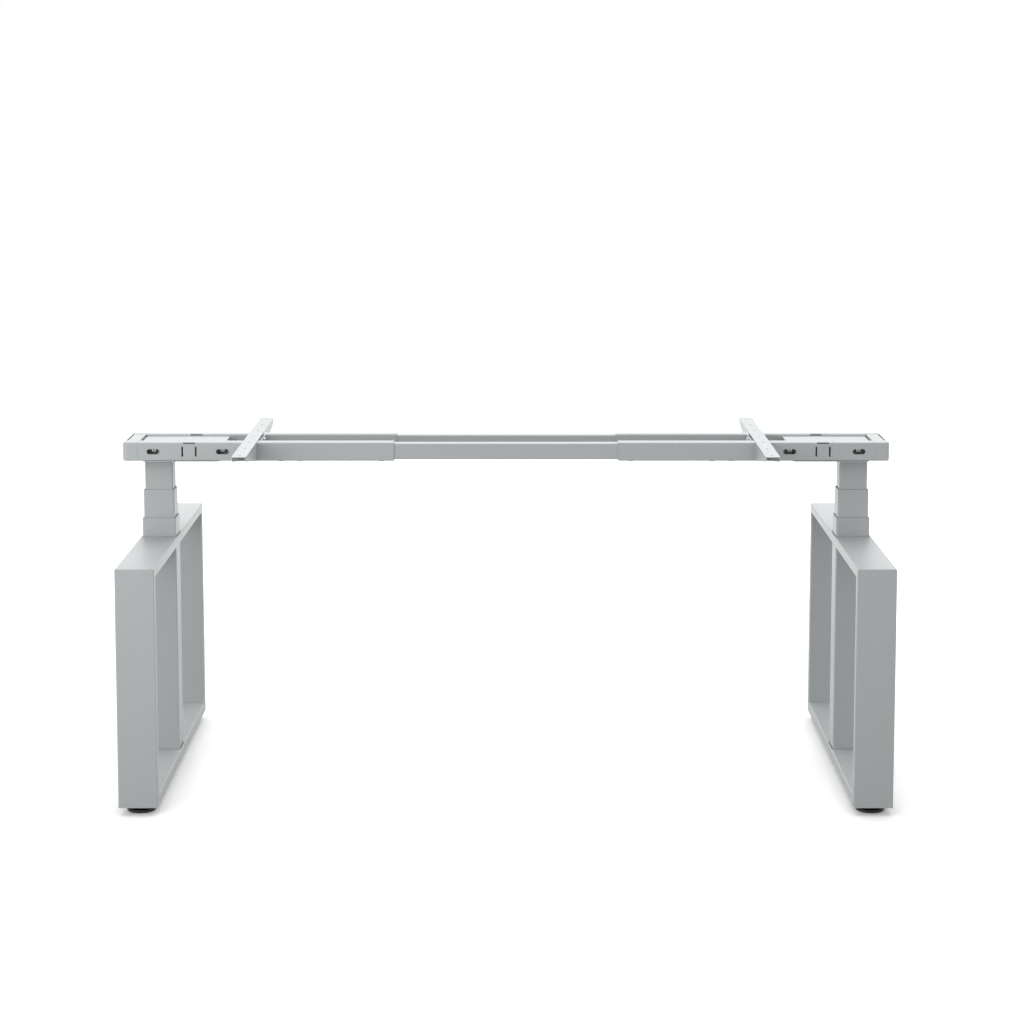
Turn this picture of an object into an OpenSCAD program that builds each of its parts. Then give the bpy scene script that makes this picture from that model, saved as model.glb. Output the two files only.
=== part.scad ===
// Height-adjustable frame for a sit-stand desk. Two closed side frames stand on levelling
// feet. A three-stage lifting column rises out of each, and a telescopic pair of rails joins
// the two column heads and carries the desktop on two cross brackets.
// +X points to the right, +Y to the back and +Z up. The origin lies on the floor, under the
// middle of the frame.

/* [Side frames] */
// Width over the outer faces of the two side frames
frame_w = 1570; // [1480:5:1800]
// Depth of a side frame from front to back
frame_d = 750; // [640:5:850]
// Height of a side frame from its underside to its top
loop_h = 492; // [470:1:530]
// Width of the flat tube that the side frames are welded from
bar_w = 80; // [78:1:100]
// Thickness of the flat tube
bar_t = 20; // [18:1:28]
// Thickness of the tube along the floor
base_t = 23; // [20:1:30]
// Wall of the flat tube
bar_wall = 2; // [1:0.1:2.4]
// Outer corner radius of the flat tube
bar_r = 2.5; // [1:0.5:5]

/* [Levelling feet] */
// Gap between the floor and the underside of a side frame
foot_gap = 17; // [15:0.5:24]
// Diameter of a foot pad
pad_d = 60; // [40:1:76]
// Height of a foot pad
pad_h = 10; // [8:0.5:12]
// Distance from the end of a side frame to the centre of a foot
foot_inset = 47.5; // [40:0.5:80]
// Diameter of the threaded stud of a foot
stud_d = 10; // [8:1:14]
// Length of the stud
stud_l = 23.5; // [20:0.5:26]

/* [Columns] */
// Width of the outer column tube, across the frame
col_w = 72; // [66:1:74]
// Depth of the outer column tube, front to back
col_d = 60; // [57:1:72]
// How much smaller each stage is than the one around it
stage_step = 6; // [5:0.5:6.5]
// Wall of the column tubes
col_wall = 1.5; // [1.2:0.1:1.8]
// Outer corner radius of the column tubes
col_r = 3; // [2:0.5:4]
// How far the outer tube stands above the side frame
outer_show = 40; // [20:1:80]
// How far the middle tube stands above the outer tube
mid_show = 61; // [56:1:100]
// How far the inner tube stands above the middle tube
inner_show = 68; // [56:1:100]
// How far each stage can still come down from here
stage_drop = 55; // [20:1:55]
// How far each stage can rise from here
stage_rise = 265; // [200:5:270]

/* [Lifting drive] */
// Diameter of the motor in the column head
motor_d = 40; // [34:1:42]
// Length of the motor
motor_l = 110; // [80:1:115]
// Diameter of the gearbox under the motor
gearbox_d = 38; // [32:1:42]
// Length of the gearbox
gearbox_l = 45; // [30:1:48]
// Diameter of the spindle that the gearbox turns
spindle_d = 14; // [12:0.5:15]
// Outer diameter of the screw tube that runs on the spindle
screw_tube_d = 30; // [29:0.5:34]
// Bore of the screw tube
screw_bore_d = 24; // [23:0.5:25]
// Outer diameter of the post that stands in the screw tube
post_d = 21; // [20:0.5:22]
// Bore of the post
post_bore_d = 16.5; // [16:0.5:18]

/* [Rails] */
// Height of the outer rails
rail_h = 40; // [36:1:50]
// Depth of the outer rails, front to back
rail_t = 30; // [28:1:40]
// Wall of the rails
rail_wall = 2; // [1.5:0.1:2.5]
// Outer corner radius of the rails
rail_r = 3; // [2:0.5:4]
// Clear distance between the front and the rear rails
rail_gap = 90; // [80:1:120]
// Length of an outer rail
rail_l = 543; // [500:1:560]
// How far an outer rail runs past the middle of its column
rail_past = 36; // [32:1:60]
// Distance from the outer end of a rail to the end of the inner rail in it
inner_rail_from_end = 281; // [265:1:300]

/* [Rail openings] */
// Length of the oval bolt slots
slot_l = 27; // [20:1:32]
// Height of the oval bolt slots in the outer wall
slot_h = 11; // [10.5:0.5:14]
// Height of the slots in the wall behind
back_slot_h = 6.6; // [6.2:0.1:8]
// Height of the hook slits
slit_h = 21; // [14:1:26]
// Width of the hook slits
slit_w = 3.5; // [2:0.5:6]
// Length of the notch in the top edge
notch_l = 25; // [15:1:27]
// Diameter of the round hole in the top face
top_hole_d = 5; // [2:0.5:8]

/* [Column head] */
// Thickness of the head plate under the rails
head_t = 2; // [1.5:0.5:5]
// Thickness of the upright flanges of the head plate
flange_t = 3; // [2:0.5:4]
// How far the cover lies below the rail tops
cover_sink = 4.5; // [3:0.5:8]
// Thickness of the cover
cover_t = 2; // [1:0.5:3]
// Length of the end cap past the rails
cap_l = 33; // [26:1:45]
// Wall of the end cap
cap_wall = 5; // [3:0.5:7]
// Radius of the upright corners of the end cap
cap_r = 10; // [4:1:14]

/* [Desktop brackets] */
// Length of a bracket, front to back
bracket_l = 566; // [480:2:640]
// Width of a bracket
bracket_w = 30; // [26:1:36]
// Sheet thickness of a bracket
bracket_t = 2; // [1.5:0.5:3]
// Height of a bracket at its ends
bracket_end_h = 10; // [6:1:20]
// Distance from the outer end of a rail to the middle of a bracket
bracket_from_end = 238; // [215:1:250]
// Diameter of the desktop screw holes
screw_hole_d = 5.5; // [4:0.5:7]
// Distance from the end of a bracket to its last screw hole
screw_end_in = 22; // [18:1:60]
// How far the channel under a bracket stands out inboard of it
channel_past = 6.5; // [5:0.5:10]

/* [Hidden] */
$fn = 40;

// Sides and ends
left = -1;
right = 1;
front = -1;
rear = 1;

// Finishes
silver_paint = [0.68, 0.70, 0.70];
dark_plastic = [0.12, 0.12, 0.13];
zinc = [0.76, 0.77, 0.78];
bare_steel = [0.55, 0.56, 0.58];
brass_gold = [0.80, 0.66, 0.32];

// Overrun of every cut, and the clearances
over = 1;
run_gap = 0.05;
slide_gap = 0.5;
glide_gap = 0.3;
touch_gap = 0.3;
part_gap = 0.3;
stop_gap = 6;
column_gap = 1.8;

// Side frame
leg_x = frame_w / 2 - bar_w / 2;
loop_z = foot_gap;
loop_top = loop_z + loop_h;
weld_nut_d = 20;
weld_nut_h = 12;
foot_y = frame_d / 2 - foot_inset;
stud_z = 5;

// Foot pad
pad_round = 2;
pad_sole_in = 2;
pad_skirt_h = 5;
pad_hub_d = 22;

// Column stages, from the floor up
outer_z = loop_z + bar_wall;
outer_top = loop_top + outer_show;
mid_top = outer_top + mid_show;
head_z = mid_top + inner_show;
mid_w = col_w - stage_step;
mid_d = col_d - stage_step;
inner_w = mid_w - stage_step;
inner_d = mid_d - stage_step;
post_plate_t = 4;
screw_plate_t = 4;
mid_z = outer_z + post_plate_t + stage_drop + stop_gap;
inner_z = mid_z + screw_plate_t + stage_drop + stop_gap;
collar_h = 40;
collar_sink = 1;
shoe_h = 30;

// Column head and rails
rail_z = head_z + head_t;
rail_top = rail_z + rail_h;
rail_mid_z = rail_z + rail_h / 2;
rail_end = leg_x + rail_past;
rail_start = rail_end - rail_l;
rail_y = rail_gap / 2 + rail_t / 2;
inner_rail_l = 2 * (rail_end - inner_rail_from_end);
inner_rail_h = rail_h - 2 * rail_wall - 2 * slide_gap;
inner_rail_t = rail_t - 2 * rail_wall - 2 * slide_gap;
cover_z = rail_top - cover_sink - cover_t;
flange_y = rail_gap / 2 - flange_t;

// Places along the rail, from its outer end
outer_slot_in = 32.3;
inner_slot_in = 179.5;
slit_in = 94.3;
slit_pitch = 28.7;
notch_in = 109;
notch_d = 4;
notch_sink = 3.4;
top_hole_in = 86;
outer_bolt_in = 31;
inner_bolt_in = 177;

// Head plate and its flanges
head_in = 136;
head_out = 27;
head_recess = 3;
head_r = 6;
flange_in = 190.5;
flange_out = 6;
bolt_hole_d = 6.4;

// Socket-head bolts and pan-head screws
bolt_d = 6;
bolt_head_d = 10;
bolt_head_h = 6;
bolt_l = 9;
socket_d = 5.8;
socket_h = 3.5;
pan_d = 10;
pan_h = 3.4;
pan_round = 1;
clamp_in = [516, 343, 302.5];

// Cover, cap and lid
cover_in = 182;
cover_end_gap = 3.5;
cover_lip_h = 26;
cap_floor_t = 3;
cap_edge_r = 4;
cap_joint = 0.5;
plug_l = 12;
lid_slit = 3;
lid_sink = 0.4;
lid_t = 2;

// Drive
motor_rise = 25;
motor_flange_d = 54;
motor_flange_t = 3;
motor_boss_d = 16;
motor_boss_h = 4;
hub_d = 22;
hub_l = 15;
nut_l = 30;
thread_spare = 10;
motor_z = rail_z + motor_rise - motor_l;
gearbox_z = motor_z - gearbox_l;
hub_z = gearbox_z - hub_l;
screw_nut_top = hub_z - stage_drop - stop_gap;
screw_nut_z = screw_nut_top - nut_l;
post_top = screw_nut_z - stage_drop - stop_gap;
spindle_z = screw_nut_z - stage_rise - thread_spare;

// Desktop bracket and its channel
bracket_x = rail_end - bracket_from_end;
bracket_top = rail_top + bracket_t;
bracket_corner_r = 4;
bracket_tongue_h = 20;
channel_t = 2;
channel_x = bracket_x - bracket_w / 2 - channel_past;
channel_w = channel_past + bracket_w - bracket_t - part_gap;
channel_lift = 1;
screw_hole_steps = 3;
screw_pitch = (bracket_l / 2 - screw_end_in) / screw_hole_steps;
bracket_screw_y = 10;
bracket_screw_sink = 7;

// Mirrors a right-hand piece to the side asked for
module on_side(side) {
    if (side < 0) mirror([1, 0, 0]) children();
    else children();
}

// Mirrors a rear piece to the end asked for
module at_end(end) {
    if (end < 0) mirror([0, 1, 0]) children();
    else children();
}

// Turns a profile drawn in Y and Z so that it is extruded along X
module along_x() {
    rotate([90, 0, 90]) children();
}

// Rectangle with round corners, made of squares and true circles
module rounded_rect(w, h, r) {
    if (r > 0) {
        square([w - 2 * r, h], center = true);
        square([w, h - 2 * r], center = true);
        for (sx = [-1, 1], sy = [-1, 1])
            translate([sx * (w / 2 - r), sy * (h / 2 - r)]) circle(r);
    } else {
        square([w, h], center = true);
    }
}

// Section of a rectangular tube
module tube_section(w, h, wall, r) {
    difference() {
        rounded_rect(w, h, r);
        rounded_rect(w - 2 * wall, h - 2 * wall, r - wall);
    }
}

// Ring between an outer outline and an inner one
module ring_section(w, h, r, hole_w, hole_h, hole_r) {
    difference() {
        rounded_rect(w, h, r);
        rounded_rect(hole_w, hole_h, hole_r);
    }
}

// Oval hole outline, lying along its first axis
module oval(length, height) {
    square([length - height, height], center = true);
    for (s = [-1, 1])
        translate([s * (length - height) / 2, 0]) circle(height / 2);
}

// Flat tube of the side frame with mitred ends, kept by an outline in Y and Z
module mitred(points) {
    intersection() {
        children();
        translate([leg_x - bar_w / 2 - over, 0, 0])
            along_x() linear_extrude(bar_w + 2 * over) polygon(points);
    }
}

module upright(side, end) {
    y_out = frame_d / 2;
    y_in = y_out - bar_t;
    color(silver_paint)
        on_side(side) at_end(end)
            mitred([
                [y_out, loop_z], [y_out, loop_top],
                [y_in, loop_top - bar_t], [y_in, loop_z + base_t]
            ])
                translate([leg_x, y_out - bar_t / 2, loop_z])
                    linear_extrude(loop_h) tube_section(bar_w, bar_t, bar_wall, bar_r);
}

// Lying tube of the side frame, from a height up by its thickness
module lying_bar(z, thickness) {
    translate([leg_x, frame_d / 2, z + thickness / 2])
        rotate([90, 0, 0])
            linear_extrude(frame_d) tube_section(bar_w, thickness, bar_wall, bar_r);
}

// Opening that the column passes through
module column_hole(z, height) {
    translate([leg_x, 0, z])
        linear_extrude(height)
            rounded_rect(col_w + 2 * column_gap, col_d + 2 * column_gap, col_r + column_gap);
}

module top_bar(side) {
    color(silver_paint)
        on_side(side)
            difference() {
                mitred([
                    [-frame_d / 2, loop_top], [frame_d / 2, loop_top],
                    [frame_d / 2 - bar_t, loop_top - bar_t],
                    [bar_t - frame_d / 2, loop_top - bar_t]
                ])
                    lying_bar(loop_top - bar_t, bar_t);
                column_hole(loop_top - bar_t - over, bar_t + 2 * over);
            }
}

module bottom_bar(side) {
    color(silver_paint)
        on_side(side)
            difference() {
                union() {
                    mitred([
                        [-frame_d / 2, loop_z], [frame_d / 2, loop_z],
                        [frame_d / 2 - bar_t, loop_z + base_t],
                        [bar_t - frame_d / 2, loop_z + base_t]
                    ])
                        lying_bar(loop_z, base_t);
                    for (end = [front, rear])
                        translate([leg_x, end * foot_y, loop_z + bar_wall])
                            cylinder(d = weld_nut_d, h = weld_nut_h);
                }
                column_hole(loop_z + base_t - bar_wall - over, bar_wall + 2 * over);
                for (end = [front, rear])
                    translate([leg_x, end * foot_y, loop_z - over])
                        cylinder(d = stud_d + 2 * run_gap, h = bar_wall + weld_nut_h + 2 * over);
            }
}

// Round foot pad with a soft edge, a raised skirt and a hub for the stud
module foot_pad(side, end) {
    color(dark_plastic)
        translate([side * leg_x, end * foot_y, 0])
            difference() {
                rotate_extrude() {
                    translate([0, 0]) square([pad_d / 2 - pad_sole_in, pad_skirt_h]);
                    polygon([
                        [0, 0], [pad_d / 2 - pad_sole_in, 0], [pad_d / 2, pad_round],
                        [pad_d / 2, pad_skirt_h], [pad_d / 2 - pad_round, pad_skirt_h + pad_round],
                        [pad_hub_d / 2, pad_h], [0, pad_h]
                    ]);
                }
                translate([0, 0, stud_z]) cylinder(d = stud_d, h = pad_h);
            }
}

module foot_stud(side, end) {
    color(zinc)
        translate([side * leg_x, end * foot_y, stud_z])
            cylinder(d = stud_d, h = stud_l);
}

// Column tube of a given outside, from one height to another
module column_tube(side, w, d, z, top) {
    color(silver_paint)
        on_side(side)
            translate([leg_x, 0, z])
                linear_extrude(top - z) tube_section(w, d, col_wall, col_r);
}

module outer_tube(side) {
    column_tube(side, col_w, col_d, outer_z, outer_top);
}

module middle_tube(side) {
    column_tube(side, mid_w, mid_d, mid_z, mid_top);
}

module inner_tube(side) {
    column_tube(side, inner_w, inner_d, inner_z, head_z);
}

// Glide collar inside the top of a tube, around the next stage
module collar(w, d, top) {
    translate([leg_x, 0, top - collar_sink - collar_h])
        linear_extrude(collar_h)
            ring_section(
                w - 2 * col_wall, d - 2 * col_wall, col_r - col_wall,
                w - stage_step + 2 * glide_gap, d - stage_step + 2 * glide_gap, col_r
            );
}

// Glide shoe around the foot of a tube, running in the stage outside it
module shoe(w, d, z) {
    translate([leg_x, 0, z])
        linear_extrude(shoe_h)
            ring_section(
                w + stage_step - 2 * col_wall - 2 * glide_gap,
                d + stage_step - 2 * col_wall - 2 * glide_gap, col_r - col_wall, w, d, col_r
            );
}

module outer_glide(side) {
    color(dark_plastic) on_side(side) collar(col_w, col_d, outer_top);
}

module middle_glides(side) {
    color(dark_plastic)
        on_side(side) {
            collar(mid_w, mid_d, mid_top);
            shoe(mid_w, mid_d, mid_z);
        }
}

module inner_glide(side) {
    color(dark_plastic) on_side(side) shoe(inner_w, inner_d, inner_z);
}

// Foot plate and post in the outer tube, with the fixed nut at the top of the post
module nut_post(side) {
    color(bare_steel)
        on_side(side)
            translate([leg_x, 0, outer_z])
                difference() {
                    union() {
                        linear_extrude(post_plate_t)
                            rounded_rect(
                                col_w - 2 * col_wall, col_d - 2 * col_wall, col_r - col_wall
                            );
                        cylinder(d = post_d, h = post_top - outer_z);
                        translate([0, 0, post_top - outer_z - nut_l])
                            cylinder(d = screw_bore_d - 2 * run_gap, h = nut_l);
                    }
                    translate([0, 0, post_plate_t])
                        cylinder(d = post_bore_d, h = post_top - outer_z);
                }
}

// Plate and threaded tube in the middle stage, with the spindle's nut at its top
module screw_tube(side) {
    color(brass_gold)
        on_side(side)
            translate([leg_x, 0, mid_z])
                difference() {
                    union() {
                        linear_extrude(screw_plate_t)
                            rounded_rect(
                                mid_w - 2 * col_wall, mid_d - 2 * col_wall, col_r - col_wall
                            );
                        cylinder(d = screw_tube_d, h = screw_nut_top - mid_z);
                    }
                    translate([0, 0, -over])
                        cylinder(d = screw_bore_d, h = screw_nut_z - mid_z + over);
                    cylinder(d = spindle_d + 2 * run_gap, h = screw_nut_top - mid_z + over);
                }
}

module spindle(side) {
    color(zinc)
        translate([side * leg_x, 0, spindle_z])
            cylinder(d = spindle_d, h = gearbox_z - spindle_z);
}

module gearbox(side) {
    color(bare_steel)
        translate([side * leg_x, 0, hub_z])
            difference() {
                union() {
                    cylinder(d = hub_d, h = hub_l + over);
                    translate([0, 0, hub_l]) cylinder(d = gearbox_d, h = gearbox_l);
                }
                translate([0, 0, -over]) cylinder(d = spindle_d, h = hub_l + over);
            }
}

module motor(side) {
    color(dark_plastic)
        translate([side * leg_x, 0, motor_z]) {
            cylinder(d = motor_d, h = motor_l);
            translate([0, 0, rail_z - motor_z]) cylinder(d = motor_flange_d, h = motor_flange_t);
            cylinder(d = motor_boss_d, h = motor_l + motor_boss_h);
        }
}

// Plate that closes the column, with two upright flanges that the rails are bolted to
module head_plate(side) {
    color(silver_paint)
        on_side(side)
            difference() {
                union() {
                    translate([leg_x + (head_out - head_in) / 2, 0, head_z])
                        linear_extrude(head_t)
                            rounded_rect(
                                head_in + head_out, rail_gap + 2 * rail_t - 2 * head_recess,
                                head_r
                            );
                    for (end = [front, rear])
                        at_end(end)
                            translate([rail_end - flange_in, flange_y, rail_z])
                                cube([flange_in - flange_out, flange_t, cover_z - rail_z]);
                }
                translate([leg_x, 0, head_z - over])
                    cylinder(d = motor_d + 2 * part_gap, h = head_t + 2 * over);
                for (bolt_in = [outer_bolt_in, inner_bolt_in])
                    translate([rail_end - bolt_in, rail_gap / 2 + over, rail_mid_z])
                        rotate([90, 0, 0]) cylinder(d = bolt_hole_d, h = rail_gap + 2 * over);
            }
}

// Cover between the rails, with a lip turned down at its inner end
module cover_plate(side) {
    x_in = rail_end - cover_in;
    width = rail_gap - 2 * part_gap;
    lip_w = 2 * flange_y - 2 * part_gap;
    color(silver_paint)
        on_side(side) {
            translate([x_in, -width / 2, cover_z])
                cube([cover_in - cover_end_gap, width, cover_t]);
            translate([x_in, -lip_w / 2, cover_z - cover_lip_h])
                cube([cover_t, lip_w, cover_lip_h + cover_t]);
        }
}

// Rounded block of the end cap, over the whole depth of the two rails, with a joint groove
module cap_block() {
    depth = rail_gap + 2 * rail_t;
    translate([rail_end, 0, rail_mid_z])
        along_x()
            linear_extrude(cap_joint + over)
                rounded_rect(depth - 2 * cap_joint, rail_h - 2 * cap_joint, rail_r - cap_joint);
    intersection() {
        translate([rail_end, 0, rail_z])
            linear_extrude(rail_h)
                difference() {
                    rounded_rect(2 * cap_l, depth, cap_r);
                    translate([-2 * cap_l, -depth])
                        square([2 * cap_l + cap_joint, 2 * depth]);
                }
        translate([rail_end, depth / 2, rail_mid_z])
            rotate([90, 0, 0])
                linear_extrude(depth) rounded_rect(2 * cap_l, rail_h, cap_edge_r);
        translate([rail_end, 0, rail_mid_z])
            along_x() linear_extrude(cap_l) rounded_rect(depth, rail_h, rail_r);
    }
}

module end_cap(side) {
    plug_h = rail_h - 2 * rail_wall - 2 * part_gap;
    plug_t = rail_t - 2 * rail_wall - 2 * part_gap;
    color(silver_paint)
        on_side(side)
            difference() {
                union() {
                    cap_block();
                    for (end = [front, rear])
                        translate([rail_end - plug_l, end * rail_y, rail_mid_z])
                            along_x() linear_extrude(plug_l + over)
                                rounded_rect(plug_t, plug_h, rail_r - rail_wall);
                }
                translate([rail_end - over, -rail_gap / 2, rail_z + cap_floor_t])
                    cube([cap_l - cap_wall + over, rail_gap, rail_h]);
                for (end = [front, rear])
                    translate([rail_end - plug_l - over, end * rail_y, rail_mid_z])
                        along_x() linear_extrude(plug_l + cap_l - cap_wall + over)
                            rounded_rect(
                                plug_t - 2 * rail_wall, plug_h - 2 * rail_wall, 0
                            );
            }
}

// Lid between the arms of the end cap, standing on the cap's floor on its skirt
module cap_lid(side) {
    length = cap_l - cap_wall - lid_slit;
    width = rail_gap - 2 * part_gap;
    height = rail_h - cap_floor_t - lid_sink;
    color(silver_paint)
        on_side(side)
            translate([rail_end, 0, rail_z + cap_floor_t])
                difference() {
                    translate([0, -width / 2, 0]) cube([length, width, height]);
                    translate([lid_t, lid_t - width / 2, -over])
                        cube([length - 2 * lid_t, width - 2 * lid_t, height - lid_t + over]);
                }
}

// Outer rail with its bolt slots, hook slits, notch and top hole
module outer_rail(side, end) {
    color(silver_paint)
        on_side(side)
            translate([0, end * rail_y, 0])
                difference() {
                    translate([rail_start, 0, rail_mid_z])
                        along_x()
                            linear_extrude(rail_l) tube_section(rail_t, rail_h, rail_wall, rail_r);
                    for (slot_in = [outer_slot_in, inner_slot_in])
                        translate([rail_end - slot_in, 0, rail_mid_z]) {
                            at_end(end) translate([0, rail_t / 2 + over, 0]) rotate([90, 0, 0])
                                linear_extrude(rail_wall + 2 * over) oval(slot_l, slot_h);
                            at_end(end) translate([0, rail_wall + over - rail_t / 2, 0])
                                rotate([90, 0, 0])
                                    linear_extrude(rail_wall + 2 * over) oval(slot_l, back_slot_h);
                        }
                    for (slit = [0, 1])
                        at_end(end)
                            translate([
                                rail_end - slit_in - slit * slit_pitch,
                                rail_t / 2 - rail_wall / 2, rail_mid_z
                            ])
                                cube([slit_w, rail_wall + 2 * over, slit_h], center = true);
                    translate([
                        rail_end - notch_in - notch_l / 2,
                        -rail_t / 2 - over, rail_top - notch_sink
                    ])
                        cube([notch_l, notch_d + over, notch_sink + over]);
                    translate([rail_end - top_hole_in, 0, rail_top - rail_wall - over])
                        cylinder(d = top_hole_d, h = rail_wall + 2 * over);
                    for (clamp = clamp_in)
                        translate([rail_end - clamp, 0, rail_z - over])
                            cylinder(d = bolt_d, h = rail_wall + 2 * over);
                }
}

module inner_rail(end) {
    color(silver_paint)
        translate([-inner_rail_l / 2, end * rail_y, rail_mid_z])
            along_x()
                linear_extrude(inner_rail_l)
                    tube_section(inner_rail_t, inner_rail_h, rail_wall, rail_r - slide_gap);
}

// Socket-head bolt along +Z, the seat of its head at zero and the head above
module socket_bolt() {
    difference() {
        cylinder(d = bolt_head_d, h = bolt_head_h);
        translate([0, 0, bolt_head_h - socket_h])
            cylinder(d = socket_d, h = socket_h + over, $fn = 6);
    }
    translate([0, 0, -bolt_l]) cylinder(d = bolt_d, h = bolt_l + over);
}

// Pan-head screw along +Z, the seat of its head at zero and the head above
module pan_screw(shank_l) {
    rotate_extrude()
        polygon([
            [0, 0], [pan_d / 2, 0], [pan_d / 2, pan_h - pan_round],
            [pan_d / 2 - pan_round, pan_h], [0, pan_h]
        ]);
    translate([0, 0, -shank_l]) cylinder(d = bolt_d, h = shank_l + over);
}

module head_bolts(side) {
    color(zinc)
        on_side(side)
            for (end = [front, rear], bolt_in = [outer_bolt_in, inner_bolt_in])
                at_end(end)
                    translate([
                        rail_end - bolt_in, rail_gap / 2 + rail_wall, rail_mid_z
                    ])
                        rotate([-90, 0, 0]) socket_bolt();
}

// Clamp screws under the rails, and the screw that holds the bracket in its channel
module pan_screws(side) {
    color(zinc)
        on_side(side) {
            for (end = [front, rear], clamp = clamp_in)
                translate([rail_end - clamp, end * rail_y, rail_z])
                    rotate([180, 0, 0]) pan_screw(rail_wall + slide_gap - touch_gap);
            translate([
                channel_x, bracket_screw_y, rail_top - bracket_screw_sink
            ])
                rotate([0, -90, 0]) pan_screw(channel_past + bracket_t);
        }
}

// Channel between the front and the rear rail, open at the top, its outer wall in the bracket
module cross_channel(side) {
    height = rail_h - channel_lift;
    color(silver_paint)
        on_side(side)
            difference() {
                translate([channel_x, -rail_gap / 2, rail_z + channel_lift])
                    cube([channel_w, rail_gap, height]);
                translate([
                    channel_x + channel_t, -rail_gap / 2 - over,
                    rail_z + channel_lift + channel_t
                ])
                    cube([channel_w - 2 * channel_t, rail_gap + 2 * over, height]);
                translate([
                    channel_x - over, bracket_screw_y, rail_top - bracket_screw_sink
                ])
                    rotate([0, 90, 0]) cylinder(d = bolt_d, h = channel_t + 2 * over);
            }
}

// Side outline of a bracket: tapered ends, notched over both rails, a tongue between them
module bracket_profile() {
    y_end = bracket_l / 2;
    y_rail = rail_gap / 2 + rail_t + part_gap;
    y_tongue = rail_gap / 2 - part_gap;
    z_end = bracket_top - bracket_end_h;
    polygon([
        [-y_end, bracket_top], [-y_end, z_end], [-y_rail, rail_z], [-y_rail, rail_top],
        [-y_tongue, rail_top], [-y_tongue, bracket_top - bracket_tongue_h],
        [y_tongue, bracket_top - bracket_tongue_h], [y_tongue, rail_top],
        [y_rail, rail_top], [y_rail, rail_z], [y_end, z_end], [y_end, bracket_top]
    ]);
}

module desktop_bracket(side) {
    inner_w_cut = bracket_w - 2 * bracket_t;
    color(silver_paint)
        on_side(side)
            difference() {
                intersection() {
                    translate([bracket_x - bracket_w / 2, 0, 0])
                        along_x() linear_extrude(bracket_w) bracket_profile();
                    translate([bracket_x, 0, rail_z - over])
                        linear_extrude(rail_h + bracket_t + 2 * over)
                            rounded_rect(bracket_w, bracket_l, bracket_corner_r);
                }
                translate([bracket_x - inner_w_cut / 2, -bracket_l / 2 - over, rail_z - over])
                    cube([inner_w_cut, bracket_l + 2 * over, rail_h + over]);
                for (step = [-screw_hole_steps : screw_hole_steps])
                    translate([bracket_x, step * screw_pitch, rail_top - over])
                        cylinder(d = screw_hole_d, h = bracket_t + 2 * over);
                translate([
                    bracket_x - bracket_w / 2 - over, bracket_screw_y,
                    rail_top - bracket_screw_sink
                ])
                    rotate([0, 90, 0]) cylinder(d = bolt_d, h = bracket_t + 2 * over);
            }
}

upright(left, front);  // left_front_upright
upright(left, rear);  // left_rear_upright
top_bar(left);  // left_top_bar
bottom_bar(left);  // left_bottom_bar
outer_tube(left);  // left_outer_tube
outer_glide(left);  // left_outer_glide
nut_post(left);  // left_nut_post
foot_pad(left, front);  // left_front_foot_pad
foot_pad(left, rear);  // left_rear_foot_pad
foot_stud(left, front);  // left_front_foot_stud
foot_stud(left, rear);  // left_rear_foot_stud
middle_tube(left);  // left_middle_tube
middle_glides(left);  // left_middle_glides
screw_tube(left);  // left_screw_tube
inner_tube(left);  // left_inner_tube
inner_glide(left);  // left_inner_glide
spindle(left);  // left_spindle
gearbox(left);  // left_gearbox
motor(left);  // left_motor
head_plate(left);  // left_head_plate
end_cap(left);  // left_end_cap
cap_lid(left);  // left_cap_lid
cover_plate(left);  // left_cover_plate
outer_rail(left, front);  // left_front_outer_rail
outer_rail(left, rear);  // left_rear_outer_rail
cross_channel(left);  // left_cross_channel
desktop_bracket(left);  // left_desktop_bracket
head_bolts(left);  // left_head_bolts
pan_screws(left);  // left_pan_screws
inner_rail(front);  // front_inner_rail
inner_rail(rear);  // rear_inner_rail
upright(right, front);  // right_front_upright
upright(right, rear);  // right_rear_upright
top_bar(right);  // right_top_bar
bottom_bar(right);  // right_bottom_bar
outer_tube(right);  // right_outer_tube
outer_glide(right);  // right_outer_glide
nut_post(right);  // right_nut_post
foot_pad(right, front);  // right_front_foot_pad
foot_pad(right, rear);  // right_rear_foot_pad
foot_stud(right, front);  // right_front_foot_stud
foot_stud(right, rear);  // right_rear_foot_stud
middle_tube(right);  // right_middle_tube
middle_glides(right);  // right_middle_glides
screw_tube(right);  // right_screw_tube
inner_tube(right);  // right_inner_tube
inner_glide(right);  // right_inner_glide
spindle(right);  // right_spindle
gearbox(right);  // right_gearbox
motor(right);  // right_motor
head_plate(right);  // right_head_plate
end_cap(right);  // right_end_cap
cap_lid(right);  // right_cap_lid
cover_plate(right);  // right_cover_plate
outer_rail(right, front);  // right_front_outer_rail
outer_rail(right, rear);  // right_rear_outer_rail
cross_channel(right);  // right_cross_channel
desktop_bracket(right);  // right_desktop_bracket
head_bolts(right);  // right_head_bolts
pan_screws(right);  // right_pan_screws
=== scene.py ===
"""Finishes, small fittings, studio and camera for a height-adjustable desk frame."""
import math

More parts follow.
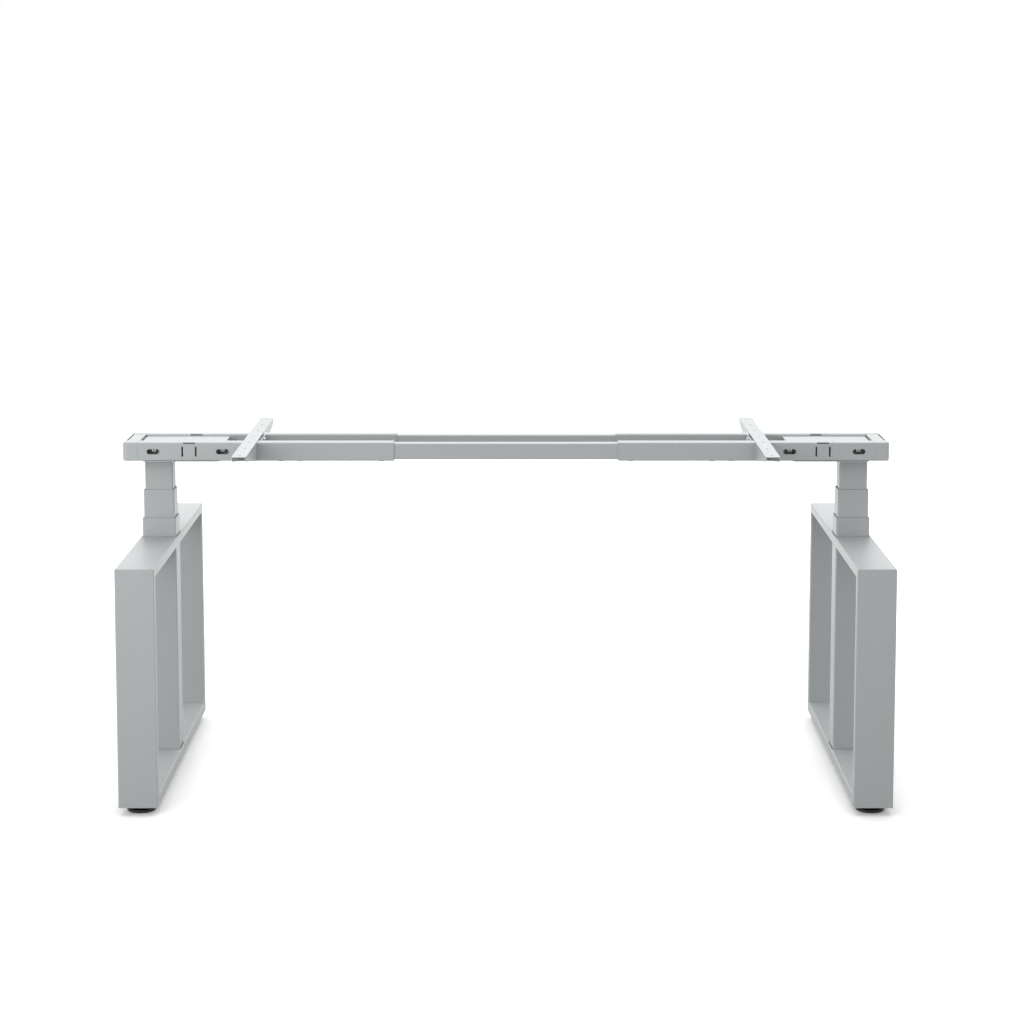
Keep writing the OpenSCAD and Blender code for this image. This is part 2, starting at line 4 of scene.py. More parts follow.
import bmesh
import bpy
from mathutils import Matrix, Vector


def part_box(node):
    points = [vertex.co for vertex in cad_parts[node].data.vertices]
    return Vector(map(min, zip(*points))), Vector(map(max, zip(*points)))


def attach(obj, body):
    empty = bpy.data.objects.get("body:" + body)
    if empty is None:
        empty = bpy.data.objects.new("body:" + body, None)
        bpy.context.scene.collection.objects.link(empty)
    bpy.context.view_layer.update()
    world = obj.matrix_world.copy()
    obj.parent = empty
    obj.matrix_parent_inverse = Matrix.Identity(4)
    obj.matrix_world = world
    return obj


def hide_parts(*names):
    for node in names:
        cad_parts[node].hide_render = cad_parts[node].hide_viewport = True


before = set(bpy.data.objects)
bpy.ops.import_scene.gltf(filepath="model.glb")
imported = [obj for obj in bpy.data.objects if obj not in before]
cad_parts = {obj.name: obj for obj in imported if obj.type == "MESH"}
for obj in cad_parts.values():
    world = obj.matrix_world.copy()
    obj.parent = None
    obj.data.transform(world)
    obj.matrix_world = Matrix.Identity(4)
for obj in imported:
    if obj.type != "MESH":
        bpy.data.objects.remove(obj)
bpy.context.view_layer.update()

bl_info = {
    "name": "Desk Frame Finishes",
    "version": (1, 0, 0),
    "blender": (4, 5, 0),
    "location": "3D View > Sidebar > Desk Frame",
    "description": "Paints a lifting desk frame, models its small fittings and lights it in a studio",
    "category": "Object",
}

# Units and shared values
MM = 0.001
WELD = 0.01 * MM
SIDES = ("left", "right")
FEET = tuple(f"{side}_{end}" for side in SIDES for end in ("front", "rear"))
UP = Vector((0, 0, 1))

# A face looks along a direction if the cosine between its normal and that is above this
FACING = 0.99

# Angle at an edge below which it is shaded smooth, and angle above which soften rounds it
SMOOTH_BELOW = math.radians(35)
SOFTEN_ABOVE = math.radians(30)

# Nodes by finish
PAINTED = (
    "front_upright", "rear_upright", "top_bar", "bottom_bar",
    "outer_tube", "middle_tube", "inner_tube",
    "head_plate", "end_cap", "cap_lid", "cover_plate",
    "front_outer_rail", "rear_outer_rail", "cross_channel", "desktop_bracket",
)
PAINTED_BETWEEN = ("front_inner_rail", "rear_inner_rail")
GLIDES = ("outer_glide", "middle_glides", "inner_glide")
MACHINED = ("nut_post", "spindle", "gearbox")

# Radius of the studio floor in metres
FLOOR_RADIUS = 14

# Lamps: name, setting of the power, place, size and the point that it faces, in metres
LAMPS = (
    ("Key lamp", "key_power", (-2.4, -2.6, 1.4), (2.0, 2.0), (-0.5, 0, 0.4)),
    ("Top lamp", "top_power", (0, 0.4, 3.0), (3.6, 2.4), (0, 0, 0.3)),
    ("Back lamp", "back_power", (0, 4.0, 2.3), (6.0, 1.8), (0, 0, 0.8)),
)


def box_size(corners):
    """Width, depth and height of a box given by its two corners."""
    return corners[1] - corners[0]


def box_middle(corners):
    """Middle of a box given by its two corners."""
    return (corners[0] + corners[1]) / 2


PAD_SIZE = box_size(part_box("left_front_foot_pad"))
STUD_SIZE = box_size(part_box("left_front_foot_stud"))


class DeskFrameFinishes(bpy.types.PropertyGroup):
    """Colours and surface of the finishes"""

    paint_color: bpy.props.FloatVectorProperty(
        name="Paint", description="Colour of the silver powder coat",
        subtype="COLOR", size=3, min=0, max=1, default=(0.406, 0.427, 0.430))
    paint_roughness: bpy.props.FloatProperty(
        name="Paint Roughness", description="How satin the powder coat is",
        subtype="FACTOR", min=0, max=1, default=0.43)
    paint_metal: bpy.props.FloatProperty(
        name="Paint Metal", description="How metallic the powder coat is",
        subtype="FACTOR", min=0, max=1, default=0.2)
    paint_grain: bpy.props.FloatProperty(
        name="Paint Grain", description="Size of the orange peel in the powder coat",
        subtype="DISTANCE", unit="LENGTH", min=0.0001, max=0.01, default=1.4 * MM)
    flake: bpy.props.FloatProperty(
        name="Flake", description="Size of the metal flakes in the paint",
        subtype="DISTANCE", unit="LENGTH", min=0.00005, max=0.002, default=0.3 * MM)
    plastic_color: bpy.props.FloatVectorProperty(
        name="Foot Plastic", description="Colour of the moulded foot pads",
        subtype="COLOR", size=3, min=0, max=1, default=(0.0095, 0.0098, 0.0105))
    glide_color: bpy.props.FloatVectorProperty(
        name="Glide Plastic", description="Colour of the glides in the column",
        subtype="COLOR", size=3, min=0, max=1, default=(0.022, 0.023, 0.025))
    zinc_color: bpy.props.FloatVectorProperty(
        name="Zinc", description="Colour of the zinc-plated fasteners",
        subtype="COLOR", size=3, min=0, max=1, default=(0.50, 0.51, 0.53))
    steel_color: bpy.props.FloatVectorProperty(
        name="Bare Steel", description="Colour of the machined steel inside the columns",
        subtype="COLOR", size=3, min=0, max=1, default=(0.36, 0.37, 0.39))
    brass_color: bpy.props.FloatVectorProperty(
        name="Brass", description="Colour of the screw tubes",
        subtype="COLOR", size=3, min=0, max=1, default=(0.62, 0.44, 0.16))
    motor_color: bpy.props.FloatVectorProperty(
        name="Motor Case", description="Colour of the motors' dark steel cases",
        subtype="COLOR", size=3, min=0, max=1, default=(0.03, 0.031, 0.034))


class DeskFrameFittings(bpy.types.PropertyGroup):
    """Sizes of the fittings that are modelled here"""

    pad_skirt: bpy.props.FloatProperty(
        name="Pad Skirt", description="Height of the upright edge of a foot pad",
        subtype="DISTANCE", unit="LENGTH", min=0.001, max=0.02, default=0.5 * PAD_SIZE.z)
    pad_hub: bpy.props.FloatProperty(
        name="Pad Hub", description="Radius of the raised hub of a foot pad",
        subtype="DISTANCE", unit="LENGTH", min=0.002, max=0.05, default=11 * MM)
    pad_hex: bpy.props.FloatProperty(
        name="Pad Hexagon", description="Width across the flats of the spanner hexagon",
        subtype="DISTANCE", unit="LENGTH", min=0.005, max=0.05, default=17 * MM)
    thread_pitch: bpy.props.FloatProperty(
        name="Thread Pitch", description="Pitch of the thread on the foot studs",
        subtype="DISTANCE", unit="LENGTH", min=0.0005, max=0.004, default=1.5 * MM)
    thread_depth: bpy.props.FloatProperty(
        name="Thread Depth", description="Depth of the thread on the foot studs",
        subtype="DISTANCE", unit="LENGTH", min=0.0002, max=0.003, default=0.9 * MM)
    bolt_head: bpy.props.FloatProperty(
        name="Bolt Head", description="Height of the socket heads",
        subtype="DISTANCE", unit="LENGTH", min=0.001, max=0.02, default=6 * MM)
    bolt_shank: bpy.props.FloatProperty(
        name="Bolt Shank", description="Diameter of the head bolts and screws",
        subtype="DISTANCE", unit="LENGTH", min=0.001, max=0.02, default=6 * MM)
    bolt_socket: bpy.props.FloatProperty(
        name="Bolt Socket", description="Width across the flats of the sockets",
        subtype="DISTANCE", unit="LENGTH", min=0.001, max=0.02, default=5 * MM)
    screw_head: bpy.props.FloatProperty(
        name="Screw Head", description="Height of the pan heads",
        subtype="DISTANCE", unit="LENGTH", min=0.0005, max=0.01, default=3.4 * MM)
    screw_slot: bpy.props.FloatProperty(
        name="Screw Recess", description="Length of the cross recess in the pan heads",
        subtype="DISTANCE", unit="LENGTH", min=0.0005, max=0.01, default=5.2 * MM)


class DeskFrameStudio(bpy.types.PropertyGroup):
    """Floor, light and camera"""

    floor_color: bpy.props.FloatVectorProperty(
        name="Floor", description="Colour of the floor where it is looked at",
        subtype="COLOR", size=3, min=0, max=1, default=(0.9, 0.9, 0.9))
    floor_bounce: bpy.props.FloatVectorProperty(
        name="Floor Bounce", description="Colour of the floor for the light that it throws back",
        subtype="COLOR", size=3, min=0, max=1, default=(0.08, 0.08, 0.08))
    floor_lift: bpy.props.FloatProperty(
        name="Floor Lift", description="White that is added to the floor where it is looked at",
        min=0, max=1, default=0.1)
    floor_reach: bpy.props.FloatProperty(
        name="Floor Reach", description="Distance from the middle at which the floor is white",
        subtype="DISTANCE", unit="LENGTH", min=1, max=10, default=2.6)
    world_light: bpy.props.FloatProperty(
        name="Room Light", description="Strength of the even light of the room",
        min=0, max=3, default=0.92)
    key_power: bpy.props.FloatProperty(
        name="Key Lamp", description="Power of the lamp at the front left",
        subtype="POWER", unit="POWER", min=0, max=2000, default=37)
    top_power: bpy.props.FloatProperty(
        name="Top Lamp", description="Power of the wide lamp overhead",
        subtype="POWER", unit="POWER", min=0, max=2000, default=40)
    back_power: bpy.props.FloatProperty(
        name="Back Lamp", description="Power of the wide lamp behind the frame",
        subtype="POWER", unit="POWER", min=0, max=2000, default=45)
    camera_place: bpy.props.FloatVectorProperty(
        name="Camera", description="Place of the camera",
        subtype="TRANSLATION", unit="LENGTH", size=3, default=(0.01265, -5.003, 1.480))
    camera_tilt: bpy.props.FloatProperty(
        name="Camera Tilt", description="How far the camera looks down",
        subtype="ANGLE", unit="ROTATION", default=math.radians(6.47))
    camera_lens: bpy.props.FloatProperty(
        name="Lens", description="Focal length in millimetres on a 36 mm sensor",
        min=20, max=300, default=82.64)
    camera_shift: bpy.props.FloatProperty(
        name="Lens Shift", description="Upright shift of the lens, as in the photograph",
        min=-1, max=1, default=-0.16)


def clear_selection():
    """Leave edit mode and deselect everything."""
    if bpy.context.mode != "OBJECT":
        bpy.ops.object.mode_set(mode="OBJECT")
    bpy.ops.object.select_all(action="DESELECT")


def choose(piece):
    """Make one piece the only selected and the active one."""
    clear_selection()
    piece.select_set(True)
    bpy.context.view_layer.objects.active = piece


def start_piece(name):
    """Name the primitive that was just added, apply its place and open it in edit mode."""
    piece = bpy.context.active_object
    piece.name = name
    piece.data.name = name
    bpy.ops.object.transform_apply(location=True, rotation=True, scale=True)
    bpy.ops.object.mode_set(mode="EDIT")
    return piece


def pick(piece, kind, test):
    """Select the faces or edges that pass a test, in edit mode."""
    bpy.ops.mesh.select_mode(type=kind)
    bpy.ops.mesh.select_all(action="DESELECT")
    mesh = bmesh.from_edit_mesh(piece.data)
    choice = {"FACE": mesh.faces, "EDGE": mesh.edges}[kind]
    chosen = [element for element in choice if test(element)]
    if not chosen:
        raise RuntimeError(f"{piece.name} has no {kind.lower()} to pick")
    for element in chosen:
        element.select_set(True)
    bmesh.update_edit_mesh(piece.data)


def pick_end(piece, direction):
    """Select the outermost flat face that looks along a direction."""
    mesh = bmesh.from_edit_mesh(piece.data)
    reach = max(face.calc_center_median().dot(direction) for face in mesh.faces)
    pick(piece, "FACE", lambda face: (
        face.normal.dot(direction) > FACING
        and face.calc_center_median().dot(direction) > reach - WELD))


def turn_steps(steps):
    """Extrude the picked round face along Z, through (radius, height) steps."""
    for (radius, height), (next_radius, next_height) in zip(steps, steps[1:]):
        bpy.ops.mesh.extrude_region_move(
            TRANSFORM_OT_translate={"value": (0, 0, next_height - height)})
        scale = next_radius / radius
        bpy.ops.transform.resize(value=(scale, scale, 1), center_override=(0, 0, next_height))


def apply_modifier(piece, kind, **settings):
    """Add a modifier with its settings and apply it."""
    choose(piece)
    modifier = piece.modifiers.new(kind.title(), kind)
    for name, value in settings.items():
        setattr(modifier, name, value)
    bpy.ops.object.modifier_apply(modifier=modifier.name)


def soften(piece, width):
    """Round the sharp edges of a piece."""
    apply_modifier(
        piece, "BEVEL", width=width, segments=2, limit_method="ANGLE",
        angle_limit=SOFTEN_ABOVE, harden_normals=False)


def finish_shape(piece):
    """Merge doubles, point the faces outwards and shade the round parts smooth."""
    choose(piece)
    bpy.ops.object.mode_set(mode="EDIT")
    bpy.ops.mesh.select_all(action="SELECT")
    bpy.ops.mesh.remove_doubles(threshold=WELD / 10)
    bpy.ops.mesh.normals_make_consistent(inside=False)
    bpy.ops.object.mode_set(mode="OBJECT")
    bpy.ops.object.shade_smooth_by_angle(angle=SMOOTH_BELOW)


def cut(piece, cutter):
    """Cut one piece out of another and throw the cutter away."""
    apply_modifier(
        piece, "BOOLEAN", object=cutter, operation="DIFFERENCE", solver="EXACT", use_self=True)
    bpy.data.objects.remove(cutter)


def copy_to(master, name, place, axis=UP):
    """Copy a piece that was modelled along Z at the origin to its place and axis."""
    piece = master.copy()
    piece.data = master.data.copy()
    piece.name = name
    bpy.context.scene.collection.objects.link(piece)
    choose(piece)
    piece.rotation_euler = UP.rotation_difference(Vector(axis)).to_euler()
    piece.location = place
    bpy.ops.object.transform_apply(location=True, rotation=True, scale=True)
    return piece


def join(pieces, name):
    """Join pieces into one mesh."""
    clear_selection()
    for piece in pieces:
        piece.select_set(True)
    bpy.context.view_layer.objects.active = pieces[0]
    bpy.ops.object.join()
    pieces[0].name = name
    pieces[0].data.name = name
    return pieces[0]


def solids(node):
    """Corners of each separate solid in a CAD node, sorted by their lowest corner."""
    mesh = bmesh.new()
    mesh.from_mesh(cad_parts[node].data)
    bmesh.ops.remove_doubles(mesh, verts=mesh.verts, dist=WELD)
    waiting = set(mesh.verts)
    found = []
    while waiting:
        queue = [waiting.pop()]
        points = []
        while queue:
            vertex = queue.pop()
            points.append(vertex.co.copy())
            for edge in vertex.link_edges:
                other = edge.other_vert(vertex)
                if other in waiting:
                    waiting.remove(other)
                    queue.append(other)
        low = Vector(min(point[axis] for point in points) for axis in range(3))
        high = Vector(max(point[axis] for point in points) for axis in range(3))
        found.append((low, high))
    mesh.free()
    return sorted(found, key=lambda corners: tuple(corners[0]))


class Finish:
    """A node material in the making: its Principled shader and short calls to add nodes."""

    def __init__(self, name):
        self.material = bpy.data.materials.new(name)
        self.material.use_nodes = True
        self.nodes = self.material.node_tree.nodes
        self.links = self.material.node_tree.links
        self.shader = self.nodes["Principled BSDF"]
        self.place = self.nodes.new("ShaderNodeTexCoord").outputs["Object"]

    def stretch(self, scale):
        """Object coordinates scaled along the three axes."""
        mapping = self.nodes.new("ShaderNodeMapping")
        mapping.inputs["Scale"].default_value = scale
        self.links.new(self.place, mapping.inputs["Vector"])
        return mapping.outputs["Vector"]

    def noise(self, size, detail=2.0, vector=None):
        """Noise whose features are about as large as a size in metres."""
        node = self.nodes.new("ShaderNodeTexNoise")
        node.inputs["Scale"].default_value = 1 / size
        node.inputs["Detail"].default_value = detail
        self.links.new(vector or self.place, node.inputs["Vector"])
        return node.outputs["Fac"]

    def cells(self, size):
        """A random value for each cell of a size in metres."""
        node = self.nodes.new("ShaderNodeTexVoronoi")
        node.inputs["Scale"].default_value = 1 / size
        self.links.new(self.place, node.inputs["Vector"])
        return node.outputs["Color"]

    def spread(self, value, low, high):
        """A value from 0 to 1 mapped to a range."""
        node = self.nodes.new("ShaderNodeMapRange")
        node.inputs["To Min"].default_value = low
        node.inputs["To Max"].default_value = high
        self.links.new(value, node.inputs["Value"])
        return node.outputs["Result"]

    def tint(self, color, *factors):
        """A colour multiplied by one or more grey values near 1."""
        last = None
        for factor in factors:
            node = self.nodes.new("ShaderNodeVectorMath")
            node.operation = "SCALE"
            if last is None:
                node.inputs[0].default_value = color
            else:
                self.links.new(last, node.inputs[0])
            self.links.new(factor, node.inputs["Scale"])
            last = node.outputs["Vector"]
        self.links.new(last, self.shader.inputs["Base Color"])

    def roughness(self, value, low, high):
        """Roughness that wanders between two values."""
        self.links.new(self.spread(value, low, high), self.shader.inputs["Roughness"])

    def bump(self, height, depth):
        """Relief of a depth in metres."""
        node = self.nodes.new("ShaderNodeBump")
        node.inputs["Strength"].default_value = 1
        node.inputs["Distance"].default_value = depth
        self.links.new(height, node.inputs["Height"])
        self.links.new(node.outputs["Normal"], self.shader.inputs["Normal"])

    def constant(self, **values):
        """Set sockets of the shader that are the same all over."""
        for name, value in values.items():
            self.shader.inputs[name.replace("_", " ")].default_value = value


def powder_coat(settings):
    """Satin silver powder coat: fine orange peel, metal flakes and a clear surface."""
    finish = Finish("Silver powder coat")
    broad = finish.noise(size=260 * MM, detail=1)
    fleck = finish.cells(settings.flake)
    peel = finish.noise(settings.paint_grain, detail=3)
    wander = 0.03
    finish.tint(
        settings.paint_color,
        finish.spread(broad, low=0.985, high=1.015), finish.spread(fleck, low=0.96, high=1.04))
    finish.roughness(peel, settings.paint_roughness - wander, settings.paint_roughness + wander)
    finish.bump(peel, depth=0.012 * MM)
    finish.constant(Metallic=settings.paint_metal, IOR=1.5, Specular_IOR_Level=0.35)
    return finish.material


def moulded_plastic(name, color, roughness):
    """Matt moulded plastic with a fine spark-eroded grain."""
    finish = Finish(name)
    broad = finish.noise(size=30 * MM)
    grain = finish.noise(size=0.7 * MM, detail=4)
    wander = 0.06
    finish.tint(color, finish.spread(broad, low=0.9, high=1.1))
    finish.roughness(grain, roughness - wander, roughness + wander)
    finish.bump(grain, depth=0.02 * MM)
    finish.constant(IOR=1.49)
    return finish.material


def plated_zinc(settings):
    """Bright zinc plating with its faint clouds."""
    finish = Finish("Zinc plating")
    clouds = finish.noise(size=3 * MM, detail=4)
    grain = finish.noise(size=0.4 * MM, detail=3)
    finish.tint(settings.zinc_color, finish.spread(clouds, low=0.88, high=1.1))
    finish.roughness(clouds, low=0.24, high=0.4)
    finish.bump(grain, depth=0.006 * MM)
    finish.constant(Metallic=1.0)
    return finish.material


def turned_metal(name, color, roughness):
    """Machined metal with turning marks that run round the upright axis."""
    finish = Finish(name)
    marks = finish.noise(size=6 * MM, detail=5, vector=finish.stretch((0.2, 0.2, 14)))
    finish.tint(color, finish.spread(marks, low=0.86, high=1.12))
    finish.roughness(marks, low=roughness - 0.08, high=roughness + 0.1)
    finish.bump(marks, depth=0.01 * MM)
    finish.constant(Metallic=1.0)
    return finish.material


def dark_case(settings):
    """Dark passivated steel of the motor cases."""
    finish = Finish("Motor case")
    clouds = finish.noise(size=9 * MM, detail=4)
    grain = finish.noise(size=0.5 * MM)
    finish.tint(settings.motor_color, finish.spread(clouds, low=0.8, high=1.25))
    finish.roughness(clouds, low=0.35, high=0.5)
    finish.bump(grain, depth=0.01 * MM)
    finish.constant(Metallic=0.7)
    return finish.material


def give(material, *nodes):
    """Put a material in every slot of the CAD nodes named."""
    for node in nodes:
        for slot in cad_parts[node].material_slots:
            slot.material = material


def on_both_sides(names):
    """Node names with the left and the right prefix."""
    return [f"{side}_{name}" for side in SIDES for name in names]


def hand_over(piece, body, node, material):
    """Finish a new piece that stands for a CAD node."""
    piece.data.materials.clear()
    piece.data.materials.append(material)
    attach(piece, body)
    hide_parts(node)


class DESKFRAME_OT_paint_steelwork(bpy.types.Operator):
    """Powder-coat the side frames, column tubes, heads, rails and brackets"""

    bl_idname = "deskframe.paint_steelwork"
    bl_label = "Paint Steelwork"

    def execute(self, context):
        material = powder_coat(context.scene.deskframe_finishes)
        give(material, *on_both_sides(PAINTED), *PAINTED_BETWEEN)
        return {"FINISHED"}


class DESKFRAME_OT_finish_glides(bpy.types.Operator):
    """Give the glides in the columns their plastic"""

    bl_idname = "deskframe.finish_glides"
    bl_label = "Finish Glides"

    def execute(self, context):
        settings = context.scene.deskframe_finishes
        material = moulded_plastic("Glide plastic", settings.glide_color, roughness=0.5)
        give(material, *on_both_sides(GLIDES))
        return {"FINISHED"}


class DESKFRAME_OT_finish_drives(bpy.types.Operator):
    """Finish the spindles, nut posts, gearboxes, screw tubes and motors"""

    bl_idname = "deskframe.finish_drives"
    bl_label = "Finish Drives"

    def execute(self, context):
        settings = context.scene.deskframe_finishes
        steel = turned_metal("Machined steel", settings.steel_color, roughness=0.34)
        brass = turned_metal("Turned brass", settings.brass_color, roughness=0.3)
        give(steel, *on_both_sides(MACHINED))
        give(brass, *on_both_sides(["screw_tube"]))
        give(dark_case(settings), *on_both_sides(["motor"]))
        return {"FINISHED"}


class DESKFRAME_OT_model_foot_pads(bpy.types.Operator):
    """Model the four moulded foot pads with their spanner hexagon"""

    bl_idname = "deskframe.model_foot_pads"
    bl_label = "Model Foot Pads"

    def execute(self, context):
        settings = context.scene.deskframe_fittings
        color = context.scene.deskframe_finishes.plastic_color
        material = moulded_plastic("Foot plastic", color, roughness=0.46)
        master = self.model_pad(settings)
        for foot in FEET:
            node = f"{foot}_foot_pad"
            middle = box_middle(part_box(node))
            pad = copy_to(master, f"{foot}_moulded_pad", (middle.x, middle.y, 0))
            hand_over(pad, f"{foot}_foot", node, material)
        bpy.data.objects.remove(master)
        return {"FINISHED"}

    def model_pad(self, settings):
        """A pad with its hexagon, its sole on the floor at the origin."""
        disc = self.model_disc(settings)
        hexagon = self.model_hexagon(settings)
        finish_shape(disc)
        finish_shape(hexagon)
        return join([disc, hexagon], "foot_pad_master")

    def model_disc(self, settings):
        """The disc from its sole up to the bore of its hub, then the groove under it."""
        radius = PAD_SIZE.x / 2
        height = PAD_SIZE.z
        sole = radius - 2 * MM
        sole_h = 2 * MM
        skirt = settings.pad_skirt
        hub = settings.pad_hub
        clear_selection()
        bpy.ops.mesh.primitive_cylinder_add(
            vertices=96, radius=sole, depth=sole_h, location=(0, 0, sole_h / 2))
        disc = start_piece("foot_pad_master")
        pick_end(disc, UP)
        flare = radius / sole
        bpy.ops.transform.resize(value=(flare, flare, 1), center_override=(0, 0, sole_h))
        # Millimetres in from the edge and up from the skirt
        rolled_edge = ((0, 0), (0.6, 1.1), (2, 1.9), (5, 2.5), (5.6, 2), (7.4, 2), (8, 2.9))
        # Millimetres out from the hub and down from its top
        shoulder = ((4, 1.3), (1, 0.4), (0, 0))
        bore = hub - 0.9 * MM
        bore_h = 2.4 * MM
        turn_steps([
            (radius, sole_h),
            *((radius - inward * MM, skirt + rise * MM) for inward, rise in rolled_edge),
            *((hub + outward * MM, height - drop * MM) for outward, drop in shoulder),
            (bore, height), (bore, height - bore_h),
        ])
        groove_out = sole - 5 * MM
        groove_in = sole - 8 * MM
        groove_h = 0.8 * MM
        hollow_h = 1.2 * MM
        pick_end(disc, -UP)
        turn_steps([
            (sole, 0), (groove_out, 0), (groove_out, groove_h), (groove_in, groove_h),
            (groove_in, 0), (hub, 0), (hub, hollow_h),
        ])
        clear_selection()
        soften(disc, width=0.25 * MM)
        return disc

    def model_hexagon(self, settings):
        """The spanner hexagon, which stands in the bore of the hub and has a sunk middle."""
        depth = 3.2 * MM
        bpy.ops.mesh.primitive_cylinder_add(
            vertices=6, radius=settings.pad_hex / math.sqrt(3), depth=depth,
            location=(0, 0, PAD_SIZE.z - depth / 2))
        hexagon = start_piece("pad_hexagon")
        pick_end(hexagon, UP)
        bpy.ops.mesh.inset(thickness=1.6 * MM)
        bpy.ops.mesh.inset(thickness=0.3 * MM, depth=-0.5 * MM)
        clear_selection()
        soften(hexagon, width=0.3 * MM)
        return hexagon


class DESKFRAME_OT_model_foot_studs(bpy.types.Operator):
    """Model the four threaded studs of the levelling feet"""

    bl_idname = "deskframe.model_foot_studs"
    bl_label = "Model Foot Studs"

    def execute(self, context):
        material = plated_zinc(context.scene.deskframe_finishes)
        master = self.model_stud(context.scene.deskframe_fittings)
        for foot in FEET:
            node = f"{foot}_foot_stud"
            low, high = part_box(node)
            place = ((low.x + high.x) / 2, (low.y + high.y) / 2, low.z)
            stud = copy_to(master, f"{foot}_threaded_stud", place)
            hand_over(stud, f"{foot}_foot", node, material)
        bpy.data.objects.remove(master)
        return {"FINISHED"}

    def model_stud(self, settings):
        """One tooth of the thread, wound up round Z and cut square at both ends."""
        pitch = settings.thread_pitch
        depth = settings.thread_depth
        radius = STUD_SIZE.x / 2
        length = STUD_SIZE.z
        flank = radius - depth / 2
        chamfer = 1 * MM
        crest = pitch / 8
        clear_selection()
        bpy.ops.mesh.primitive_plane_add(
            size=1, location=(flank, 0, 0), rotation=(math.radians(90), 0, 0))
        bpy.ops.transform.resize(value=(depth, 1, pitch))
        stud = start_piece("foot_stud_master")
        pick(stud, "EDGE", lambda edge: all(vertex.co.x > flank for vertex in edge.verts))
        bpy.ops.transform.resize(value=(1, 1, crest / pitch), center_override=(radius, 0, 0))
        pick(stud, "EDGE", lambda edge: all(vertex.co.x < flank for vertex in edge.verts))
        bpy.ops.mesh.delete(type="EDGE_FACE")
        clear_selection()
        # The cuts at both ends take the spare turns off again
        spare_turns = 3
        apply_modifier(
            stud, "SCREW", axis="Z", angle=math.tau, steps=36, render_steps=36,
            screw_offset=pitch, iterations=math.ceil(length / pitch) + spare_turns,
            use_merge_vertices=False)
        choose(stud)
        bpy.ops.object.mode_set(mode="EDIT")
        bpy.ops.mesh.select_all(action="SELECT")
        bpy.ops.mesh.remove_doubles(threshold=WELD)
        foot_z = 1.5 * pitch
        top_z = foot_z + length - chamfer
        for height, direction in ((foot_z, -UP), (top_z, UP)):
            bpy.ops.mesh.select_all(action="SELECT")
            bpy.ops.mesh.bisect(
                plane_co=(0, 0, height), plane_no=direction, use_fill=True, clear_outer=True)
        bpy.ops.mesh.select_all(action="SELECT")
        bpy.ops.transform.translate(value=(0, 0, -foot_z))
        bpy.ops.mesh.normals_make_consistent(inside=False)
        pick_end(stud, UP)
        turn_steps([(radius, length - chamfer), (radius - chamfer, length)])
        clear_selection()
        finish_shape(stud)
        return stud


class DESKFRAME_OT_model_head_bolts(bpy.types.Operator):
    """Model the socket-head bolts that hold the rails to the column heads"""

    bl_idname = "deskframe.model_head_bolts"
    bl_label = "Model Head Bolts"

    def execute(self, context):
        material = plated_zinc(context.scene.deskframe_finishes)
        settings = context.scene.deskframe_fittings
        size = box_size(solids("left_head_bolts")[0])
        master = self.model_bolt(settings, size.x / 2, size.y)
        for side in SIDES:
            node = f"{side}_head_bolts"
            bolts = []
            for low, high in solids(node):
                middle = (low + high) / 2
                outward = math.copysign(1, middle.y)
                head_top = high.y if outward > 0 else low.y
                seat = head_top - outward * settings.bolt_head
                place = (middle.x, seat, middle.z)
                bolts.append(copy_to(master, f"{side}_bolt", place, axis=(0, outward, 0)))
            group = join(bolts, f"{side}_socket_bolts")
            hand_over(group, f"{side}_head", node, material)
        bpy.data.objects.remove(master)
        return {"FINISHED"}

    def model_bolt(self, settings, radius, length):
        """Head from its seat up with a knurled edge, the shank below, then the socket."""
        head = settings.bolt_head
        chamfer = 0.6 * MM
        sides = 48
        clear_selection()
        bpy.ops.mesh.primitive_cylinder_add(
            vertices=sides, radius=radius, depth=head - chamfer,
            location=(0, 0, (head - chamfer) / 2))
        bolt = start_piece("bolt_master")

        def knurled(face):
            """True for every second one of the upright sides."""
            middle = face.calc_center_median()
            side = round(math.atan2(middle.y, middle.x) / math.tau * sides - 0.5)
            return abs(face.normal.z) < FACING and side % 2 == 0

        pick(bolt, "FACE", knurled)
        bpy.ops.mesh.inset(thickness=0.08 * MM, depth=-0.14 * MM, use_individual=True)
        pick_end(bolt, UP)
        turn_steps([(radius, head - chamfer), (radius - chamfer, head)])
        shank = length - head
        shank_r = settings.bolt_shank / 2
        tip_h = 0.8 * MM
        tip_r = shank_r - 0.7 * MM
        pick_end(bolt, -UP)
        turn_steps([(radius, 0), (shank_r, 0), (shank_r, tip_h - shank), (tip_r, -shank)])
        clear_selection()
        cut(bolt, self.socket_cutter(settings))
        finish_shape(bolt)
        return bolt

    def socket_cutter(self, settings):
        """The room of the hexagon socket, which ends in a flat cone."""
        depth = 3.5 * MM
        cone_h = 0.8 * MM
        cone_tip_share = 0.2
        floor_z = settings.bolt_head - depth
        bpy.ops.mesh.primitive_cylinder_add(
            vertices=6, radius=settings.bolt_socket / math.sqrt(3), depth=2 * depth,
            location=(0, 0, settings.bolt_head))
        cutter = start_piece("socket_cutter")
        pick_end(cutter, -UP)
        turn_steps([(1, floor_z), (cone_tip_share, floor_z - cone_h)])
        clear_selection()
        return cutter


